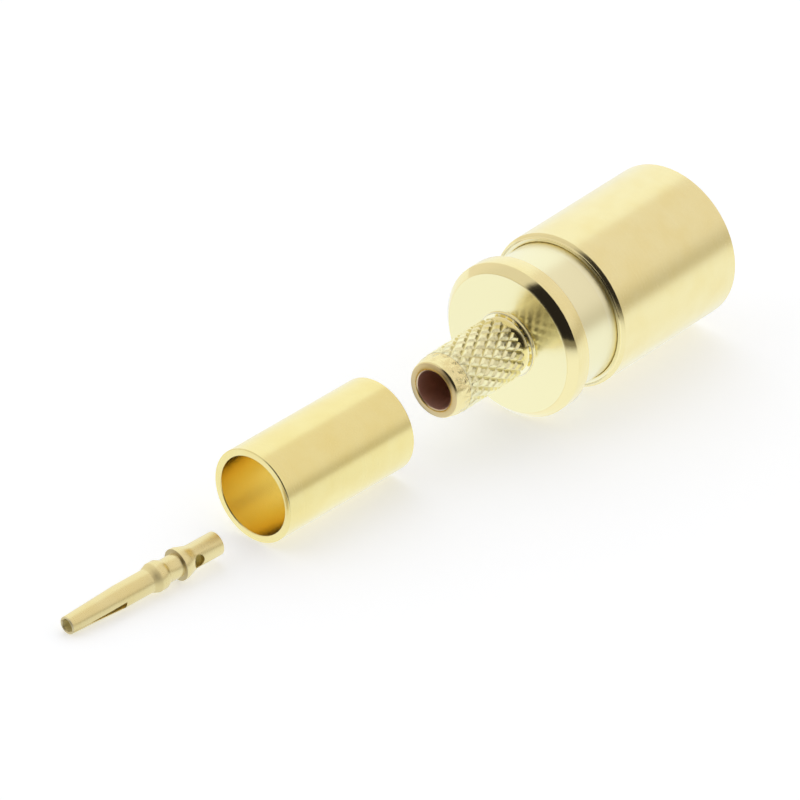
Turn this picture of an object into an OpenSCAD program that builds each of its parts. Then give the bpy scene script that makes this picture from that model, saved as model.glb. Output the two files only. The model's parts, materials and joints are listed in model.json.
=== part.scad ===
// Straight crimp cable plug of the small push-on coaxial kind, as a kit of parts lying in a row on a table:
// the assembled connector body, the crimp ferrule in front of its stem, and the loose centre contact.
// Turned pieces are drawn as half sections of radius and station, and then laid along +X.
// A station counts from the back face of the body's flange, and grows towards the mating end.

/* [Crimp stem] */
// Length of the stem behind the flange
stem_len = 4.55; // [3.5:0.05:7]
// Diameter of the smooth lead-in before the knurl
stem_d = 2.56; // [2.4:0.02:2.6]
// Diameter at the stem's end, where the lead-in starts to grow
stem_end_d = 2.38; // [2.2:0.02:2.5]
// Length of the growing part, chamfer included
stem_taper_len = 0.45; // [0.3:0.05:0.6]
// Length of the whole lead-in
lead_in_len = 0.75; // [0.7:0.05:1.2]
// Chamfer outside the stem's end
stem_chamfer = 0.06; // [0.03:0.01:0.12]
// Bore through the stem, for the cable's dielectric
stem_bore_d = 1.64; // [1.58:0.02:1.8]
// Chamfer in the bore's mouth
stem_bore_chamfer = 0.04; // [0.03:0.01:0.15]

/* [Knurl] */
// Diameter over the knurl's crests
knurl_d = 2.62; // [2.56:0.02:2.7]
// Depth of the knurl's grooves
knurl_depth = 0.1; // [0.06:0.01:0.11]
// Length of the knurled band
knurl_len = 3.25; // [1.6:0.01:3.4]
// Grooves of each hand around the stem
knurl_starts = 17; // [12:1:22]
// Angle between a groove and the stem's axis
knurl_helix = 31; // [20:1:45]
// Share of each diamond that its flat top takes up
knurl_top_share = 0.58; // [0.1:0.02:0.7]
// Rows of crossings over which the grooves run in to their depth at the stem's end
knurl_run_in = 2; // [1:1:3]
// Diameter of the undercut between the knurl and the shoulder
undercut_d = 2.38; // [2.3:0.02:2.38]

/* [Flange and neck] */
// Diameter of the low shoulder at the root of the stem
shoulder_d = 2.76; // [2.6:0.02:3.2]
// Thickness of that shoulder
shoulder_len = 0.14; // [0.08:0.01:0.3]
// Diameter of the flange's rim
rim_d = 6.6; // [6.3:0.1:7.5]
// Thickness of the flange
flange_len = 1.05; // [0.8:0.05:1.5]
// Chamfer between the flange's back face and its rim
flange_chamfer = 0.34; // [0.1:0.02:0.5]
// Diameter of the neck, which is also the shell's press seat
neck_d = 5.9; // [5.8:0.05:6]
// Neck left bare between the flange and the shell
neck_len = 2.09; // [1.2:0.01:4]
// Length of the neck inside the shell
seat_len = 2.05; // [1.4:0.05:3]
// Small chamfer that breaks each turned edge
edge_break = 0.06; // [0.02:0.01:0.08]

/* [Coupling shell] */
// Outer diameter of the shell
shell_d = 6.6; // [6.4:0.1:7.5]
// Length of the shell
shell_len = 7.16; // [6.6:0.02:9]
// Chamfer on the shell's rear edge
shell_rear_chamfer = 0.13; // [0.06:0.01:0.16]
// Chamfer in the shell's rear mouth, which leads it onto the neck
shell_lead_chamfer = 0.04; // [0.02:0.01:0.08]
// Bore of the shell around the spring collet
shell_bore_d = 5.5; // [5.2:0.1:5.7]
// Chamfer inside the shell's mouth
shell_mouth_chamfer = 0.25; // [0.1:0.05:0.35]
// Radial clearance drawn at each pressed seat
seat_clearance = 0.01; // [0.005:0.005:0.03]

/* [Spring collet] */
// Diameter of the collet's base, pressed into the body
collet_base_d = 5; // [4.8:0.05:5.2]
// Length of the base inside the body
collet_base_len = 1; // [0.6:0.05:1.3]
// Thickness of the floor that the mating jack butts on, in front of the body
collet_floor = 1.04; // [0.5:0.02:1.6]
// Diameter over the collet's fingers at their lip
collet_lip_d = 4.6; // [4.5:0.05:4.9]
// Diameter over the thin waist of the fingers
collet_waist_d = 4.3; // [4.2:0.05:4.4]
// Bore between the fingers, for the jack's sleeve
socket_d = 3.9; // [3.8:0.02:4]
// Bore at the gripping lip of the fingers
lip_bore_d = 3.56; // [3.5:0.02:3.66]
// Length of the lip's straight land
lip_land = 0.3; // [0.2:0.05:0.5]
// Depth of the socket from the collet's mouth to its floor
socket_depth = 3.5; // [3:0.1:4]
// Number of slots between the fingers
slot_count = 4; // [3:1:6]
// Width of each slot
slot_w = 0.36; // [0.2:0.02:0.5]
// Solid ring left between the slots' roots and the socket's floor
slot_root = 0.25; // [0.1:0.05:0.6]

/* [Insulator] */
// Diameter of the insulator in the body
insulator_d = 3.2; // [3.1:0.05:3.25]
// Diameter of the nose between the collet's fingers
nose_d = 2.06; // [1.9:0.02:2.2]
// Length of the nose in front of the socket's floor
nose_len = 2; // [1.5:0.05:2.6]
// Bore of the chamber behind the insulator, around the contact's wire barrel
chamber_d = 2.4; // [2:0.05:2.7]
// Running clearance around the contact in the insulator
contact_clearance = 0.03; // [0.01:0.01:0.06]

/* [Centre contact] */
// Length of the contact
contact_len = 7.6; // [7.2:0.1:9]
// Diameter of its socket tube
tube_d = 0.98; // [0.9:0.02:1.1]
// Diameter at the tip, where the two tines are bent together
tip_d = 0.74; // [0.68:0.02:0.8]
// Bore for the mating pin
pin_bore_d = 0.54; // [0.5:0.02:0.56]
// Depth of the pin bore
pin_bore_len = 3.2; // [2.9:0.1:3.6]
// Length of the slot between the tines
tine_slot_len = 2.64; // [1.8:0.02:2.8]
// Length at the tip over which the bent tines touch
tine_touch_len = 0.78; // [0.4:0.02:1.6]
// Width of that slot at its root
tine_slot_root_w = 0.32; // [0.16:0.02:0.36]
// Width of that slot where the tines touch
tine_slot_tip_w = 0.02; // [0.02:0.01:0.1]
// Diameter of the retention barb
barb_d = 1.22; // [1.14:0.02:1.26]
// Station of the barb's full diameter, from the tip
barb_at = 4.38; // [4.1:0.02:4.5]
// Length of the barb's full diameter
barb_len = 0.3; // [0.2:0.02:0.5]
// Length of the ramp on the barb's tip side
barb_ramp = 0.33; // [0.2:0.01:0.4]
// Length of the ramp on its wire side
barb_fall = 0.25; // [0.1:0.01:0.4]
// Diameter of the stop collar
collar_d = 1.33; // [1.28:0.02:1.5]
// Station of the collar's front face, from the tip
collar_at = 5.54; // [5.4:0.02:5.7]
// Length of the collar's full diameter
collar_len = 0.2; // [0.1:0.02:0.4]
// Length of the taper from the collar down to the wire barrel
collar_taper = 0.54; // [0.3:0.02:0.6]
// Diameter of the wire barrel
barrel_d = 1; // [0.9:0.02:1.1]
// Bore for the cable's centre conductor
wire_bore_d = 0.56; // [0.5:0.02:0.6]
// Depth of the wire bore
wire_bore_len = 1.55; // [1.4:0.05:1.8]
// Diameter of the inspection hole in the barrel's wall
inspection_d = 0.54; // [0.3:0.02:0.56]
// Distance of the inspection hole from the barrel's end
inspection_at = 1.3; // [1:0.02:1.35]

/* [Crimp ferrule] */
// Outer diameter of the ferrule
ferrule_d = 3.95; // [3.8:0.05:4.3]
// Bore of the ferrule
ferrule_bore_d = 3.33; // [3.1:0.01:3.5]
// Length of the ferrule
ferrule_len = 7.06; // [5:0.1:9]
// Small chamfer on each of the ferrule's edges
ferrule_break = 0.03; // [0.02:0.01:0.08]

/* [Kit layout] */
// Distance from the stem's end to the ferrule, along the body's axis
ferrule_gap = 1.64; // [0.8:0.01:3]
// Sideways place of the ferrule's near end
ferrule_side = 1.5; // [1:0.01:2]
// Turn of the ferrule on the table
ferrule_yaw = -2.5; // [-6:0.1:6]
// Distance from the ferrule's mouth to the contact's wire end
contact_gap = 1.99; // [1:0.01:4]
// Sideways place of the contact's wire end
contact_side = 1.96; // [1:0.01:2.5]
// Turn of the contact on the table
contact_yaw = -7.4; // [-12:0.1:6]
// Roll of the contact, which puts its tine slot below the horizontal
tine_roll = -20; // [-60:1:60]
// Roll of the inspection hole above the horizontal
inspection_roll = 3; // [-60:1:60]

/* [Hidden] */
$fn = 96;
cut = 1; // how far a cutting solid runs past what it cuts

// Stations along the connector, worked out from the stem to the mouth
knurl_from = lead_in_len - stem_len;
knurl_to = knurl_from + knurl_len;
shell_from = flange_len + neck_len;
body_front = shell_from + seat_len;
shell_mouth = shell_from + shell_len;
collet_from = body_front - collet_base_len;
socket_floor = body_front + collet_floor;
collet_mouth = socket_floor + socket_depth;
contact_recess = 0.12; // the contact's tip lies this far inside the nose
nose_face = socket_floor + nose_len;
insulator_from = nose_face - contact_recess - collar_at; // the contact's collar stops here
chamber_from = insulator_from - (contact_len - collar_at) - contact_recess;

// Radii
knurl_r = knurl_d / 2;
knurl_start_r = stem_d / 2 + 0.01; // just above the lead-in
insulator_seat_r = insulator_d / 2 + seat_clearance;
barb_bore_r = barb_d / 2 + contact_clearance / 2;
shoulder_edge = 0.04; // chamfer on the shoulder's rim
finger_rim = 0.1; // flat rim left at the fingers' ends
tube_bore_r = tube_d / 2 + contact_clearance;

// Knurl lattice: rows of crossings along the band, half a pitch apart
knurl_half_pitch = 180 / knurl_starts;
knurl_row_ideal = knurl_r * knurl_half_pitch * PI / 180 / tan(knurl_helix);
knurl_rows = max(2, round(knurl_len / knurl_row_ideal));
knurl_row = knurl_len / knurl_rows;

// The loose contact lies on its tip and its stop collar
tip_edge = 0.03; // small chamfer outside the tip
tip_mouth = 0.045; // chamfer in the mouth of the pin bore
contact_tilt = atan((collar_d - tip_d) / 2 / (collar_at - tip_edge));
contact_height = tip_d / 2 * cos(contact_tilt) - tip_edge * sin(contact_tilt);
contact_reach = contact_len * cos(contact_tilt);

// Places of the loose pieces, from the flange's back face on the body's axis
ferrule_near = -stem_len - ferrule_gap;
ferrule_mouth = [ferrule_near - ferrule_len * cos(ferrule_yaw), ferrule_side - ferrule_len * sin(ferrule_yaw)];
contact_end_x = ferrule_mouth.x - contact_gap;
contact_tip = [contact_end_x - contact_reach * cos(contact_yaw), contact_side - contact_reach * sin(contact_yaw)];

// The row's origin is on the table, in the middle of the whole kit
axis_height = max(shell_d, rim_d) / 2;
kit_back = contact_tip.x - tip_d / 2 * abs(sin(contact_yaw));
kit_left = max(axis_height, ferrule_mouth.y + ferrule_d / 2 * cos(ferrule_yaw));
kit_middle = [(kit_back + shell_mouth) / 2, (kit_left - axis_height) / 2];

// Lays a piece drawn along +Z down along +X, and puts it on the table
module laid(place, height, yaw = 0, tilt = 0) {
    translate([place.x - kit_middle.x, place.y - kit_middle.y, height])
        rotate([0, 0, yaw]) rotate([0, -tilt, 0]) rotate([0, 90, 0]) children();
}

module in_connector() {
    laid([0, 0], axis_height) children();
}

// A solid of revolution from its half section of [radius, station] points
module turned(section) {
    rotate_extrude() polygon(section);
}

// The knurl's crests and the depth of its grooves both grow from the stem's end, at row 0
function crest_r(row) = min(knurl_r, knurl_start_r + row * (knurl_r - knurl_start_r));
function root_r(row) = crest_r(row) - knurl_depth * min(row / knurl_run_in, 1);

// Point of the knurl at a row and a column, each counted in half pitches
function knurl_point(row, column, r) =
    [r * cos(column * knurl_half_pitch), r * sin(column * knurl_half_pitch), knurl_from + row * knurl_row];

// Diamond knurl. Every second point of its lattice is a crossing of two grooves, at the root radius, and
// the points between are the middles of diamonds, each with a small flat on top and four sloping sides.
// The sides of a diamond count from its back corner: back, left, front, right. The band is cut off square
// through the middle of the first row of diamonds and of the last, so these have only two sloping sides.
module knurl_band() {
    row_side = [-1, 0, 1, 0];
    column_side = [0, 1, 0, -1];
    columns = 2 * knurl_starts;
    flats_from = (knurl_rows + 1) * knurl_starts;
    last = knurl_rows;
    function place_in_row(column) = floor(((column + columns) % columns) / 2);
    function root(row, column) = row * knurl_starts + place_in_row(column);
    function flat(row, column, side) = flats_from + 4 * (row * knurl_starts + place_in_row(column)) + side;
    function corner(row, column, side) = root(row + row_side[side], column + column_side[side]);
    function flat_row(row, side) = min(last, max(0, row + knurl_top_share * row_side[side]));
    function fan(rim, middle) = [for (k = [0 : len(rim) - 1]) [rim[k], rim[(k + 1) % len(rim)], middle]];
    points = concat(
        [for (row = [0 : last], i = [0 : knurl_starts - 1]) knurl_point(row, 2 * i + row % 2, root_r(row))],
        [for (row = [0 : last], i = [0 : knurl_starts - 1], side = [0 : 3])
            knurl_point(flat_row(row, side), 2 * i + (row + 1) % 2 + knurl_top_share * column_side[side],
                crest_r(flat_row(row, side)))],
        [[0, 0, knurl_from], [0, 0, knurl_to]]);
    cells = [for (row = [0 : last], i = [0 : knurl_starts - 1]) [row, 2 * i + (row + 1) % 2]];
    tops = [for (c = cells, half = [0, 2])
        [flat(c[0], c[1], 2 - half), flat(c[0], c[1], 1 + half), flat(c[0], c[1], half)]];
    slopes = [for (c = cells, side = [0 : 3])
        if ((c[0] > 0 || side == 1 || side == 2) && (c[0] < last || side == 0 || side == 3))
            [c[0], c[1], side, (side + 1) % 4]];
    upper_slopes = [for (s = slopes)
        [flat(s[0], s[1], s[2]), flat(s[0], s[1], s[3]), corner(s[0], s[1], s[3])]];
    lower_slopes = [for (s = slopes)
        [flat(s[0], s[1], s[2]), corner(s[0], s[1], s[3]), corner(s[0], s[1], s[2])]];
    back_rim = [for (i = [0 : knurl_starts - 1], step = [-1, 3, 0, 1])
        step < 0 ? root(0, 2 * i) : flat(0, 2 * i + 1, step)];
    front_rim = [for (i = [knurl_starts - 1 : -1 : 0], step = [1, 2, 3, -1])
        let (column = 2 * i + (last + 1) % 2)
        step < 0 ? root(last, column - 1) : flat(last, column, step)];
    polyhedron(points, concat(tops, upper_slopes, lower_slopes,
        fan(back_rim, len(points) - 2), fan(front_rim, len(points) - 1)), convexity = 6);
}

// Outside of the turned body behind and before the knurl
module stem_end() {
    end_r = stem_end_d / 2;
    turned([[0, -stem_len], [end_r - stem_chamfer, -stem_len], [end_r, stem_chamfer - stem_len],
        [stem_d / 2, stem_taper_len - stem_len], [stem_d / 2, knurl_from], [0, knurl_from]]);
}

module flange_and_neck() {
    undercut_r = undercut_d / 2;
    shoulder_r = shoulder_d / 2;
    rim_r = rim_d / 2;
    neck_r = neck_d / 2;
    core_from = knurl_to - 0.3; // it reaches under the knurl
    turned([[0, core_from], [undercut_r, core_from], [undercut_r, -shoulder_len],
        [shoulder_r - shoulder_edge, -shoulder_len], [shoulder_r, shoulder_edge - shoulder_len],
        [shoulder_r, 0], [rim_r - flange_chamfer, 0], [rim_r, flange_chamfer],
        [rim_r, flange_len - edge_break], [rim_r - edge_break, flange_len],
        [neck_r, flange_len], [neck_r, body_front - edge_break],
        [neck_r - edge_break, body_front], [0, body_front]]);
}

// Everything that is bored out of the body, from the stem's mouth to the collet's counterbore
module body_bores() {
    stem_bore_r = stem_bore_d / 2;
    collet_seat_r = collet_base_d / 2 + seat_clearance;
    turned([[0, -stem_len - cut], [stem_bore_r + stem_bore_chamfer + cut, -stem_len - cut],
        [stem_bore_r, stem_bore_chamfer - stem_len], [stem_bore_r, chamber_from],
        [chamber_d / 2, chamber_from], [chamber_d / 2, insulator_from],
        [insulator_seat_r, insulator_from], [insulator_seat_r, collet_from],
        [collet_seat_r, collet_from], [collet_seat_r, body_front + cut], [0, body_front + cut]]);
}

module crimp_body() {
    color([0.90, 0.80, 0.50]) in_connector() difference() {
        union() {
            stem_end();
            knurl_band();
            flange_and_neck();
        }
        body_bores();
    }
}

module coupling_shell() {
    seat_r = neck_d / 2 + seat_clearance;
    bore_r = shell_bore_d / 2;
    color([0.92, 0.82, 0.52]) in_connector()
        turned([[seat_r, shell_from + shell_lead_chamfer], [seat_r + shell_lead_chamfer, shell_from],
            [shell_d / 2 - shell_rear_chamfer, shell_from], [shell_d / 2, shell_from + shell_rear_chamfer],
            [shell_d / 2, shell_mouth - edge_break], [shell_d / 2 - edge_break, shell_mouth],
            [bore_r + shell_mouth_chamfer, shell_mouth], [bore_r, shell_mouth - shell_mouth_chamfer],
            [bore_r, body_front], [seat_r, body_front]]);
}

// Base, floor, thin waist and gripping lip of the collet, before it is slotted
module collet_blank() {
    base_r = collet_base_d / 2;
    outer_lip_r = collet_lip_d / 2;
    waist_r = collet_waist_d / 2;
    socket_r = socket_d / 2;
    lip_r = lip_bore_d / 2;
    step = outer_lip_r - waist_r;
    lip_ramp = 2 * (socket_r - lip_r);
    lead = outer_lip_r - lip_r - edge_break - finger_rim; // flared mouth that opens the fingers
    land_front = collet_mouth - lead;
    turned([[insulator_seat_r, collet_from], [base_r, collet_from], [base_r, body_front],
        [outer_lip_r, body_front], [outer_lip_r, socket_floor - step], [waist_r, socket_floor],
        [waist_r, land_front - lip_land - lip_ramp - step], [outer_lip_r, land_front - lip_land - lip_ramp],
        [outer_lip_r, collet_mouth - edge_break], [outer_lip_r - edge_break, collet_mouth],
        [lip_r + lead, collet_mouth], [lip_r, land_front], [lip_r, land_front - lip_land],
        [socket_r, land_front - lip_land - lip_ramp], [socket_r, socket_floor],
        [insulator_seat_r, socket_floor]]);
}

module spring_collet() {
    slot_from = socket_floor + slot_root;
    color([0.86, 0.76, 0.46]) in_connector() difference() {
        collet_blank();
        for (i = [0 : slot_count - 1]) rotate([0, 0, (i + 0.5) * 360 / slot_count])
            translate([0, -slot_w / 2, slot_from])
                cube([collet_base_d, slot_w, collet_mouth - slot_from + cut]);
    }
}

module insulator() {
    barb_bore_to = insulator_from + collar_at - barb_at + barb_ramp + contact_clearance;
    color([0.96, 0.96, 0.94]) in_connector()
        turned([[barb_bore_r, insulator_from], [insulator_d / 2, insulator_from],
            [insulator_d / 2, socket_floor], [nose_d / 2, socket_floor],
            [nose_d / 2, nose_face - edge_break], [nose_d / 2 - edge_break, nose_face],
            [tube_bore_r, nose_face], [tube_bore_r, barb_bore_to], [barb_bore_r, barb_bore_to]]);
}

// Outside of the contact: bent-in tines, barb, stop collar and wire barrel
module contact_blank() {
    tip_r = tip_d / 2;
    tube_r = tube_d / 2;
    barrel_r = barrel_d / 2;
    taper_from = collar_at + collar_len;
    turned([[0, 0], [tip_r - tip_edge, 0], [tip_r, tip_edge], [tube_r, tine_slot_len],
        [tube_r, barb_at - barb_ramp], [barb_d / 2, barb_at], [barb_d / 2, barb_at + barb_len],
        [tube_r, barb_at + barb_len + barb_fall], [tube_r, collar_at],
        [collar_d / 2 - tip_edge / 2, collar_at], [collar_d / 2, collar_at + tip_edge / 2],
        [collar_d / 2, taper_from], [barrel_r, taper_from + collar_taper],
        [barrel_r, contact_len - tip_edge], [barrel_r - tip_edge, contact_len], [0, contact_len]]);
}

// Wedge between the two tines, which touch at the tip
module tine_slot() {
    tip_w = tine_slot_tip_w / 2;
    root_w = tine_slot_root_w / 2;
    rotate([90, 0, 0]) linear_extrude(tube_d + 2 * cut, center = true)
        polygon([[-tip_w, -cut], [tip_w, -cut], [tip_w, tine_touch_len], [root_w, tine_slot_len],
            [-root_w, tine_slot_len], [-tip_w, tine_touch_len]]);
}

module centre_contact() {
    pin_r = pin_bore_d / 2;
    wire_r = wire_bore_d / 2;
    color([0.90, 0.80, 0.50])
        laid(contact_tip, contact_height, contact_yaw, contact_tilt) rotate([0, 0, -tine_roll]) difference() {
            contact_blank();
            turned([[0, -cut], [pin_r + tip_mouth + cut, -cut], [pin_r, tip_mouth],
                [pin_r, pin_bore_len], [0, pin_bore_len]]);
            translate([0, 0, contact_len - wire_bore_len]) cylinder(h = wire_bore_len + cut, d = 2 * wire_r);
            tine_slot();
            rotate([0, 0, tine_roll - inspection_roll]) translate([0, 0, contact_len - inspection_at])
                rotate([90, 0, 0]) cylinder(h = barrel_d, d = inspection_d);
        }
}

module crimp_ferrule() {
    outer_r = ferrule_d / 2;
    bore_r = ferrule_bore_d / 2;
    near = ferrule_break;
    far = ferrule_len - ferrule_break;
    color([0.90, 0.80, 0.50]) laid(ferrule_mouth, outer_r, ferrule_yaw)
        turned([[bore_r, near], [bore_r + ferrule_break, 0], [outer_r - ferrule_break, 0], [outer_r, near],
            [outer_r, far], [outer_r - ferrule_break, ferrule_len],
            [bore_r + ferrule_break, ferrule_len], [bore_r, far]]);
}

crimp_body();
coupling_shell();
spring_collet();
insulator();
centre_contact();
crimp_ferrule();
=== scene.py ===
# Looks of a gold-plated coaxial cable plug, lying in a row with its crimp ferrule and its centre contact.
import json
import math

import bpy
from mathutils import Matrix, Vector


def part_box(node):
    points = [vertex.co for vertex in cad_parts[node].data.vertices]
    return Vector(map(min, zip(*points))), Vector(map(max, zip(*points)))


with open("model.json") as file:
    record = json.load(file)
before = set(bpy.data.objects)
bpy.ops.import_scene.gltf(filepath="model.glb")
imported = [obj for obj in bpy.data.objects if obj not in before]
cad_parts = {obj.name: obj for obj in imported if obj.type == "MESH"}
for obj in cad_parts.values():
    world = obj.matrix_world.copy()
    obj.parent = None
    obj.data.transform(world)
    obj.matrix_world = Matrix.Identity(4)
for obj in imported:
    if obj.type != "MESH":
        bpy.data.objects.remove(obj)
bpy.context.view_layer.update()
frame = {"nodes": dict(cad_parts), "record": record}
nodes = frame["nodes"]
mounts = {mount["name"]: mount for mount in frame["record"]["mounts"]}

MM = 0.001
STEM_LENGTH = 4.55 * MM
FLANGE_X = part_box("crimp_body")[0].x + STEM_LENGTH

# The photograph's camera: it looks along the row from behind and beside the contact, from above
IMAGE_WIDTH = 800  # pixels, the frame that the focal length is worked out in
SENSOR_WIDTH = 36
CAMERA_ELEVATION = math.radians(31.55)
CAMERA_HEADING = math.radians(39.515)  # from the connector's axis towards +Y
CAMERA_DISTANCE = 350 * MM
CAMERA_FOCAL = 8909  # pixels
CAMERA_TARGET = (-1.763 * MM, 3.978 * MM)  # from below the flange's back face, on the table
CAMERA_CLIP = (10 * MM, 10)

# Gold plate, as the light that it gives back at right angles
GOLD = (0.95, 0.81, 0.42)
WARMER = (0.98, 0.95, 0.86)  # what its faint clouds do to it
NECK_GOLD = (0.95, 0.86, 0.53)
SPRING_GOLD = (0.93, 0.78, 0.38)
TUBE_GOLD = (0.95, 0.80, 0.365)
# The ferrule's bore, painted a little lighter than the tube as painted light inside it
FERRULE_BORE_LIGHT_GOLD = (1.0, 0.82, 0.35)
CONTACT_GOLD = (0.89, 0.74, 0.37)
# The knurl's tops are painted paler as a painted highlight, and its grooves darker as painted shade
KNURL_TOP_HIGHLIGHT_GOLD = (0.99, 0.90, 0.53)
GROOVE_SHADE_GOLD = (0.82, 0.74, 0.43)
# The edge of the stem's bore, painted darker as painted shade
BORE_EDGE_SHADE_GOLD = (0.60, 0.49, 0.31)
# The stem's end face, painted darker bronze as a painted dark reflection
STEM_END_REFLECTION_GOLD = (0.72, 0.55, 0.27)
FACE_GOLD = (0.96, 0.86, 0.50)
# The shoulder's rim, painted pale as a painted highlight line
RIM_HIGHLIGHT_GOLD = (0.93, 0.86, 0.66)
# The collar's stop face, painted darker as painted shade
COLLAR_FACE_SHADE_GOLD = (0.62, 0.50, 0.26)
MOUTH_GOLD = (0.84, 0.71, 0.41)
# Painted pale, as painted light in corners and hollows that would be in shade
PAINTED_LIGHT_GOLD = (0.98, 0.90, 0.60)
BORE_BROWN = (0.88, 0.60, 0.48)
PLASTIC_WHITES = ((0.86, 0.86, 0.84), (0.93, 0.93, 0.92))

# The studio, by heading from the connector's axis towards +Y and by elevation, in degrees. The screen on the
# left is a cool white, the rest is a little darker, and behind the camera the room is dark.
SCREEN = (1.0, 1.07, 1.16)
ROOM = (0.85, 0.84, 0.84)
BACK = (0.77, 0.77, 0.77)
DARK = (0.02, 0.018, 0.02)
TABLE_EDGE = (0.58, 0.565, 0.52)
SCREEN_FROM = (15, 24)
SCREEN_TO = (68, 84)
BACK_FROM = (95, 125)
TABLE_EDGE_REACH = (0, 22)  # elevation
CAMERA_END = (-146, 22)  # middle of the dark part
CAMERA_END_REACH = (40, 48)  # degrees from that middle, where it is dark and where it ends

# The table that everything lies on, and how it shows in metal: as the even white ground that is behind the
# object, and darker far in front of the row and below the camera
TABLE_HALF_WIDTH = 0.6
TABLE_WHITE = (0.82, 0.82, 0.82, 1)
TABLE_ROUGHNESS = 0.9
TABLE_SHINE = 0.1
TABLE_LIFT = 0.45  # the light of its own that makes it white in the picture
TABLE_MIRRORED = 0.98
TABLE_FRONT_HEADING = -90
TABLE_FRONT = (0.66, 0.65, 0.61)
TABLE_FRONT_REACH = (12, 60)  # millimetres from the flange
TABLE_END = (0.24, 0.23, 0.19)
TABLE_END_REACH = (8, 40)

# How fine each kind of surface variation is, as the scale of its noise, which grows as it gets finer
FINE_RINGS = 26000
COARSE_RINGS = 9000
PLASTIC_RINGS = 12000
GRAIN = 30000
ROLLED_SKIN = 11000
GOLD_CLOUDS = 900
PLASTIC_CLOUDS = 1500

RING_SHARE = 0.4  # of the rings in the shade of the gold, against its clouds
SHADE_REACH = (0.35, 0.7)  # of that shade, from the plain colour to the warmer one
ROUGH_REACH = (0.6, 1.4)  # of rings and grain, from the lower finish to the higher one
RING_HEIGHT = 0.0003  # millimetres
EDGE_BLUR = 0.01  # millimetres

PLASTIC_CLOUD_REACH = (0.2, 0.8)
PLASTIC_FINISH = (0.4, 0.5)
PLASTIC_RING_HEIGHT = 0.001  # millimetres
PLASTIC_SCATTER = 0.2
PLASTIC_DEPTH = 0.3 * MM
PLASTIC_DEPTH_BY_COLOUR = (1, 0.9, 0.8)

# The knurl, in millimetres from the flange's back face
KNURL = (-3.8, -0.55)
KNURL_ROW = 0.40625
KNURL_STARTS = 17
KNURL_RADIUS = (1.15, 2)
FIRST_MARKS_RISE = (-4.5, -3.8)
FIRST_MARKS_FADE = (-2.7, -3.6)
FIRST_MARKS_HEIGHT = 0.03
TOP_HEIGHT = 0.007
FINER_HEIGHT = 0.004
SKIN_SHARE = 1.6  # of the uneven skin, against the diamonds

WELD_REACH = 0.0001 * MM
ROUNDING_SEGMENTS = 2
ROUNDED_FROM = math.radians(28)  # an edge that turns by more is rounded


class Tree:
    """Short calls for making and linking the nodes of one material or world."""

    def __init__(self, owner):
        owner.use_nodes = True
        self.nodes = owner.node_tree.nodes
        self.links = owner.node_tree.links

    def add(self, kind, **settings):
        made = self.nodes.new(kind)
        for key, value in settings.items():
            setattr(made, key, value)
        return made

    def put(self, socket, value):
        if isinstance(value, bpy.types.NodeSocket):
            self.links.new(value, socket)
        else:
            socket.default_value = value

    def coordinates(self, kind):
        return self.add("ShaderNodeTexCoord").outputs[kind]

    def split(self, vector):
        made = self.add("ShaderNodeSeparateXYZ")
        self.put(made.inputs[0], vector)
        return [made.outputs[axis] for axis in "XYZ"]

    def math(self, operation, *values):
        made = self.add("ShaderNodeMath", operation=operation)
        for socket, value in zip(made.inputs, values):
            self.put(socket, value)
        return made.outputs[0]

    def ramp(self, value, low, high, out_low=0.0, out_high=1.0):
        made = self.add("ShaderNodeMapRange", interpolation_type="SMOOTHSTEP")
        names = ("Value", "From Min", "From Max", "To Min", "To Max")
        for name, setting in zip(names, (value, low, high, out_low, out_high)):
            self.put(made.inputs[name], setting)
        return made.outputs["Result"]

    def band(self, value, low, high, blur):
        """1 from low to high, in millimetres, and soft over blur on both sides."""
        rise = self.ramp(value, (low - blur) * MM, low * MM)
        fall = self.ramp(value, (high + blur) * MM, high * MM)
        return self.math("MULTIPLY", rise, fall)

    def vector(self, operation, first, second=None):
        made = self.add("ShaderNodeVectorMath", operation=operation)
        self.put(made.inputs[0], first)
        if operation != "NORMALIZE":
            self.put(made.inputs["Scale" if operation == "SCALE" else 1], second)
        return made.outputs["Value" if operation == "DOT_PRODUCT" else "Vector"]

    def mix(self, share, first, second):
        made = self.add("ShaderNodeMix", data_type="RGBA")
        self.put(made.inputs["Factor"], share)
        for name, value in (("A", first), ("B", second)):
            socket = next(s for s in made.inputs if s.name == name and s.type == "RGBA")
            self.put(socket, value if isinstance(value, bpy.types.NodeSocket) else (*value, 1))
        return next(s for s in made.outputs if s.type == "RGBA")

    def noise(self, at, scale, detail=2.0, roughness=0.5):
        """Noise in space if at is a place, or along a line if it is a number."""
        in_space = at.type == "VECTOR"
        made = self.add("ShaderNodeTexNoise", noise_dimensions="3D" if in_space else "1D")
        self.put(made.inputs["Vector" if in_space else "W"], at)
        for name, setting in (("Scale", scale), ("Detail", detail), ("Roughness", roughness)):
            made.inputs[name].default_value = setting
        return made.outputs["Fac"]

    def bump(self, height, distance):
        made = self.add("ShaderNodeBump")
        made.inputs["Strength"].default_value = 1
        made.inputs["Distance"].default_value = distance
        self.put(made.inputs["Height"], height)
        return made.outputs["Normal"]


def connector_axis_y():
    low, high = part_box("coupling_shell")
    return (low.y + high.y) / 2


def direction(heading, elevation):
    heading, elevation = math.radians(heading), math.radians(elevation)
    return (
        math.cos(elevation) * math.cos(heading),
        math.cos(elevation) * math.sin(heading),
        math.sin(elevation))


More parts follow.
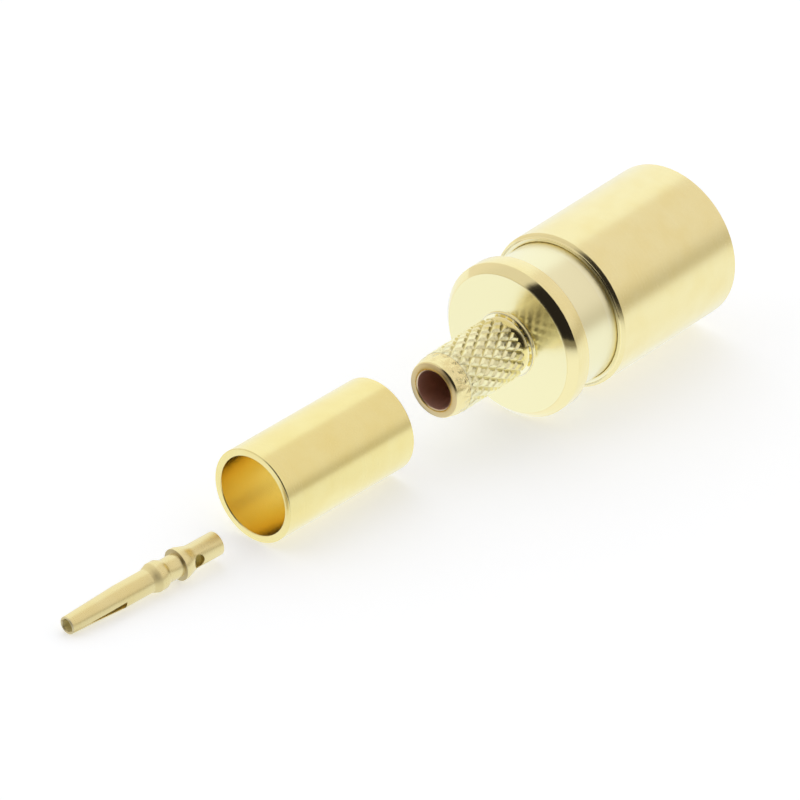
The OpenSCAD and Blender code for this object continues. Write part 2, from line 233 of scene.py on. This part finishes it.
def add_camera():
    target = Vector((FLANGE_X + CAMERA_TARGET[0], connector_axis_y() + CAMERA_TARGET[1], 0))
    look = Vector((
        math.cos(CAMERA_ELEVATION) * math.cos(CAMERA_HEADING),
        math.cos(CAMERA_ELEVATION) * math.sin(CAMERA_HEADING),
        -math.sin(CAMERA_ELEVATION)))
    data = bpy.data.cameras.new("camera")
    data.sensor_width = SENSOR_WIDTH
    data.lens = CAMERA_FOCAL / IMAGE_WIDTH * SENSOR_WIDTH
    data.clip_start, data.clip_end = CAMERA_CLIP
    camera = bpy.data.objects.new("camera", data)
    camera.location = target - look * CAMERA_DISTANCE
    camera.rotation_euler = look.to_track_quat("-Z", "Y").to_euler()
    bpy.context.scene.collection.objects.link(camera)
    bpy.context.scene.camera = camera


def add_world():
    world = bpy.data.worlds.new("studio")
    tree = Tree(world)
    way = tree.coordinates("Generated")
    ahead, side, up = tree.split(way)
    heading = tree.math("ARCTAN2", side, ahead)
    elevation = tree.math("ARCSINE", up)

    def over(value, reach):
        return tree.ramp(value, math.radians(reach[0]), math.radians(reach[1]))

    light = tree.mix(over(heading, BACK_FROM), ROOM, BACK)
    on_screen = tree.math("MULTIPLY", over(heading, SCREEN_FROM), over(heading, SCREEN_TO[::-1]))
    light = tree.mix(on_screen, light, SCREEN)
    edge = over(tree.math("ABSOLUTE", elevation), TABLE_EDGE_REACH[::-1])
    edge = tree.math("MULTIPLY", edge, over(heading, SCREEN_FROM[::-1]))
    light = tree.mix(edge, light, TABLE_EDGE)
    facing = tree.vector("DOT_PRODUCT", way, direction(*CAMERA_END))
    inner, outer = (math.cos(math.radians(angle)) for angle in CAMERA_END_REACH)
    light = tree.mix(tree.ramp(facing, outer, inner), light, DARK)
    seen = tree.add("ShaderNodeLightPath").outputs["Is Camera Ray"]
    shader = tree.nodes["Background"]
    tree.put(shader.inputs["Color"], tree.mix(seen, light, (1, 1, 1)))
    shader.inputs["Strength"].default_value = 1
    bpy.context.scene.world = world


def add_floor():
    size = TABLE_HALF_WIDTH
    corners = [(-size, -size, 0), (size, -size, 0), (size, size, 0), (-size, size, 0)]
    mesh = bpy.data.meshes.new("table")
    mesh.from_pydata(corners, [], [(0, 1, 2, 3)])
    floor = bpy.data.objects.new("table", mesh)
    bpy.context.scene.collection.objects.link(floor)
    material = bpy.data.materials.new("table")
    tree = Tree(material)
    shader = tree.nodes["Principled BSDF"]
    shader.inputs["Base Color"].default_value = TABLE_WHITE
    shader.inputs["Roughness"].default_value = TABLE_ROUGHNESS
    shader.inputs["Specular IOR Level"].default_value = TABLE_SHINE
    shader.inputs["Emission Color"].default_value = (1, 1, 1, 1)
    path = tree.add("ShaderNodeLightPath")
    lift = tree.math("MULTIPLY", path.outputs["Is Camera Ray"], TABLE_LIFT)
    tree.put(shader.inputs["Emission Strength"], lift)
    ground = tree.add("ShaderNodeEmission")
    from_flange = tree.vector("SUBTRACT", tree.coordinates("Object"), (FLANGE_X, connector_axis_y(), 0))
    darker_ways = (
        (TABLE_FRONT_HEADING, TABLE_FRONT_REACH, TABLE_FRONT),
        (CAMERA_END[0], TABLE_END_REACH, TABLE_END))
    light = SCREEN
    for heading, reach, far_light in darker_ways:
        distance = tree.vector("DOT_PRODUCT", from_flange, direction(heading, 0))
        light = tree.mix(tree.ramp(distance, reach[0] * MM, reach[1] * MM), light, far_light)
    tree.put(ground.inputs["Color"], light)
    ground.inputs["Strength"].default_value = TABLE_MIRRORED
    mirrored = tree.math("MAXIMUM", path.outputs["Is Glossy Ray"], path.outputs["Is Transmission Ray"])
    both = tree.add("ShaderNodeMixShader")
    for socket, value in zip(both.inputs, (mirrored, shader.outputs[0], ground.outputs[0])):
        tree.put(socket, value)
    tree.put(tree.nodes["Material Output"].inputs["Surface"], both.outputs[0])
    floor.data.materials.append(material)


def zone(station, radius, colour, finish, blur=EDGE_BLUR, rings=0.0, lean=0.0):
    """A part of a turned piece with its own look, by station along its axis and distance from it. Rings is
    how deep its coarse tool rings are, and lean is how far its narrow face is turned outwards, or inwards if
    it is negative, as a broken edge is. Lengths are in millimetres."""
    return {
        "station": station, "radius": radius, "colour": colour, "finish": finish, "blur": blur,
        "rings": rings, "lean": lean}


def turned_place(tree, start, along):
    """Where a point of a turned piece is: its place, its station along the axis, and its way and distance
    across from the axis."""
    place = tree.coordinates("Object")
    from_start = tree.vector("SUBTRACT", place, start)
    station = tree.vector("DOT_PRODUCT", from_start, along)
    across = tree.vector("SUBTRACT", from_start, tree.vector("SCALE", along, station))
    radius = tree.math("SQRT", tree.vector("DOT_PRODUCT", across, across))
    return place, station, across, radius


def gold(name, colour, start, along, zones=(), finish=(0.2, 0.28), relief=None):
    """Gold plate on a turned piece, whose axis goes through start: fine rings left by the tool, and faint
    clouds. Its zones have their own colour and finish, some of the colours painted lighter or darker as
    painted light and painted shade, and relief gives what stands proud besides the rings and the grain, in
    millimetres."""
    material = bpy.data.materials.new(name)
    tree = Tree(material)
    shader = tree.nodes["Principled BSDF"]
    shader.inputs["Metallic"].default_value = 1
    place, station, across, radius = turned_place(tree, start, along)
    outwards = tree.vector("NORMALIZE", across)
    rings = tree.noise(station, FINE_RINGS, detail=3, roughness=0.6)
    clouds = tree.noise(place, GOLD_CLOUDS, detail=3)
    rings_and_grain = tree.math("ADD", rings, tree.noise(place, GRAIN))
    shade = tree.math(
        "ADD", tree.math("MULTIPLY", rings, RING_SHARE), tree.math("MULTIPLY", clouds, 1 - RING_SHARE))
    warm = tuple(part * warmer for part, warmer in zip(colour, WARMER))
    base = tree.mix(tree.ramp(shade, *SHADE_REACH), colour, warm)
    rough = tree.ramp(rings_and_grain, *ROUGH_REACH, *finish)
    height = tree.math("MULTIPLY", rings_and_grain, RING_HEIGHT)
    lean = None
    for part in zones:
        share = tree.math(
            "MULTIPLY", tree.band(station, *part["station"], part["blur"]),
            tree.band(radius, *part["radius"], part["blur"]))
        base = tree.mix(share, base, part["colour"])
        rough = tree.math(
            "ADD", tree.math("MULTIPLY", rough, tree.math("SUBTRACT", 1, share)),
            tree.math("MULTIPLY", share, part["finish"]))
        if part["rings"]:
            coarse = tree.math("MULTIPLY", tree.noise(station, COARSE_RINGS), part["rings"])
            height = tree.math("ADD", height, tree.math("MULTIPLY", share, coarse))
        if part["lean"]:
            turned = tree.vector("SCALE", outwards, tree.math("MULTIPLY", share, part["lean"]))
            lean = tree.vector("ADD", lean, turned) if lean else turned
    if relief:
        height = tree.math("ADD", height, relief(tree, place, station, across, radius))
    normal = tree.bump(height, MM)
    if lean:
        normal = tree.vector("NORMALIZE", tree.vector("ADD", normal, lean))
    tree.put(shader.inputs["Base Color"], base)
    tree.put(shader.inputs["Roughness"], rough)
    tree.put(shader.inputs["Normal"], normal)
    return material


def knurl_relief(tree, place, station, across, radius):
    """What rolling does to the metal: round tops on the diamonds, finer marks across them, an uneven skin,
    and faint first marks before them."""
    _, side, up = tree.split(across)
    around = tree.math("ARCTAN2", side, tree.math("MULTIPLY", up, -1))
    rows = tree.math("SUBTRACT", station, KNURL[0] * MM)

    def diamonds(fineness):
        on_row = tree.math("COSINE", tree.math("MULTIPLY", rows, fineness * math.pi / (KNURL_ROW * MM)))
        on_column = tree.math("COSINE", tree.math("MULTIPLY", around, fineness * KNURL_STARTS))
        return tree.math("ABSOLUTE", tree.math("SUBTRACT", on_column, on_row))

    rise, fade = ([edge * MM for edge in reach] for reach in (FIRST_MARKS_RISE, FIRST_MARKS_FADE))
    first_marks = tree.math(
        "MULTIPLY", tree.ramp(station, *rise, 0, FIRST_MARKS_HEIGHT), tree.ramp(station, *fade))
    rolled = tree.band(station, *KNURL, EDGE_BLUR)
    tops = tree.math("MAXIMUM", first_marks, tree.math("MULTIPLY", rolled, TOP_HEIGHT))
    skin = tree.math("MULTIPLY", tree.noise(place, ROLLED_SKIN, detail=3), SKIN_SHARE)
    height = tree.math("MULTIPLY", tree.math("ADD", diamonds(1), skin), tops)
    finer = tree.math("MULTIPLY", diamonds(2), tree.math("MULTIPLY", rolled, FINER_HEIGHT))
    return tree.math("MULTIPLY", tree.math("ADD", height, finer), tree.band(radius, *KNURL_RADIUS, EDGE_BLUR))


def white_plastic(name):
    """Waxy white fluoropolymer, turned, with faint tool rings."""
    material = bpy.data.materials.new(name)
    tree = Tree(material)
    shader = tree.nodes["Principled BSDF"]
    place = tree.coordinates("Object")
    clouds = tree.noise(place, PLASTIC_CLOUDS, detail=3)
    tree.put(shader.inputs["Base Color"], tree.mix(clouds, *PLASTIC_WHITES))
    shader.inputs["Subsurface Weight"].default_value = PLASTIC_SCATTER
    shader.inputs["Subsurface Radius"].default_value = PLASTIC_DEPTH_BY_COLOUR
    shader.inputs["Subsurface Scale"].default_value = PLASTIC_DEPTH
    tree.put(shader.inputs["Roughness"], tree.ramp(clouds, *PLASTIC_CLOUD_REACH, *PLASTIC_FINISH))
    rings = tree.noise(tree.split(place)[0], PLASTIC_RINGS)
    tree.put(shader.inputs["Normal"], tree.bump(rings, PLASTIC_RING_HEIGHT * MM))
    return material


def dress(name, material, edge=0.015):
    """Gives a piece its material, joins its faces, and rounds its edges, by edge in millimetres, so that they
    catch the light."""
    piece = nodes[name]
    piece.data.materials.clear()
    piece.data.materials.append(material)
    piece.data.shade_smooth()
    join = piece.modifiers.new("join", "WELD")
    join.merge_threshold = WELD_REACH
    rounding = piece.modifiers.new("rounding", "BEVEL")
    rounding.width = edge * MM
    rounding.segments = ROUNDING_SEGMENTS
    rounding.limit_method = "ANGLE"
    rounding.angle_limit = ROUNDED_FROM
    rounding.use_clamp_overlap = False
    shading = piece.modifiers.new("shading", "WEIGHTED_NORMAL")
    shading.mode = "FACE_AREA_WITH_ANGLE"


add_camera()
add_world()
add_floor()
bpy.context.scene.view_settings.view_transform = "Standard"

flange = (FLANGE_X, connector_axis_y(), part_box("coupling_shell")[1].z / 2)
forwards = (1, 0, 0)
ferrule_mount = mounts["ferrule_bore"]
contact_mount = mounts["wire_bore"]
body_zones = (
    zone((1.15, 3.2), (-1, 9), NECK_GOLD, 0.3, blur=0.1),  # neck
    zone((2.75, 3.2), (2.9, 3), PAINTED_LIGHT_GOLD, 0.35, blur=0.05),  # neck, beside the shell, painted pale as painted light against the shade in the corner
    zone(KNURL, (1.2, 2), KNURL_TOP_HIGHLIGHT_GOLD, 0.3, blur=0.03),  # diamonds of the knurl, painted paler as a painted highlight on their tops
    zone(KNURL, (1, 1.21), GROOVE_SHADE_GOLD, 0.35, blur=0.03),  # its grooves, painted darker as painted shade
    zone((-0.54, 0.01), (1.1, 1.4), PAINTED_LIGHT_GOLD, 0.1),  # undercut and shoulder, painted pale as painted light
    zone((-0.145, -0.1), (1.335, 1.4), RIM_HIGHLIGHT_GOLD, 0.3, lean=-0.7),  # rim of the shoulder, painted pale as a painted highlight line
    zone((-0.02, 0.02), (1.39, 2.95), FACE_GOLD, 0.17),  # back face of the flange
    zone((0.03, 0.33), (2.9, 3.29), GOLD, 0.12, rings=0.004),  # its chamfer
    zone((-5, -4.54), (0.92, 1.14), STEM_END_REFLECTION_GOLD, 0.3, blur=0.03, lean=0.3),  # end of the stem, painted darker bronze as a painted dark reflection
    zone((-5, -4.54), (0.83, 0.87), BORE_EDGE_SHADE_GOLD, 0.28, lean=-0.45),  # edge of its bore, painted darker as painted shade
    zone((-5, 2), (-1, 0.83), BORE_BROWN, 0.55))  # its bore
shell_zones = (
    zone((3.1, 3.15), (2.9, 3.1), PAINTED_LIGHT_GOLD, 0.3),  # back face of the shell, painted pale as painted light against the shade in the corner by the neck
    zone((3.1, 3.15), (3.12, 3.18), GOLD, 0.1, lean=1.0))  # its outer edge
contact_zones = (
    zone((-9, 1), (-1, 0.29), PAINTED_LIGHT_GOLD, 0.6),  # bores, painted pale as painted light inside them
    zone((-7.2, -7.05), (0.2, 0.4), MOUTH_GOLD, 0.5),  # tip
    zone((-3.03, -2.74), (0.3, 0.62), CONTACT_GOLD, 0.55, blur=0.03),  # ramp of the barb
    zone((-1.58, -1.54), (0.5, 0.7), COLLAR_FACE_SHADE_GOLD, 0.5))  # stop face of the collar, painted darker as painted shade
ferrule_zones = (zone((-20, 20), (-1, 1.68), FERRULE_BORE_LIGHT_GOLD, 0.26),)  # bore of the ferrule, painted a little lighter as painted light inside it

body_gold = gold("crimp_body", GOLD, flange, forwards, body_zones, relief=knurl_relief)
shell_gold = gold("coupling_shell", GOLD, flange, forwards, shell_zones)
collet_gold = gold("spring_collet", SPRING_GOLD, flange, forwards)
contact_gold = gold(
    "centre_contact", CONTACT_GOLD, contact_mount["pos_m"], contact_mount["axis"], contact_zones,
    finish=(0.26, 0.34))
ferrule_gold = gold(
    "crimp_ferrule", TUBE_GOLD, ferrule_mount["pos_m"], ferrule_mount["axis"], ferrule_zones)
dress("crimp_body", body_gold, edge=0.018)
dress("coupling_shell", shell_gold, edge=0.008)
dress("spring_collet", collet_gold)
dress("centre_contact", contact_gold, edge=0.008)
dress("crimp_ferrule", ferrule_gold, edge=0.01)
dress("insulator", white_plastic("insulator"))
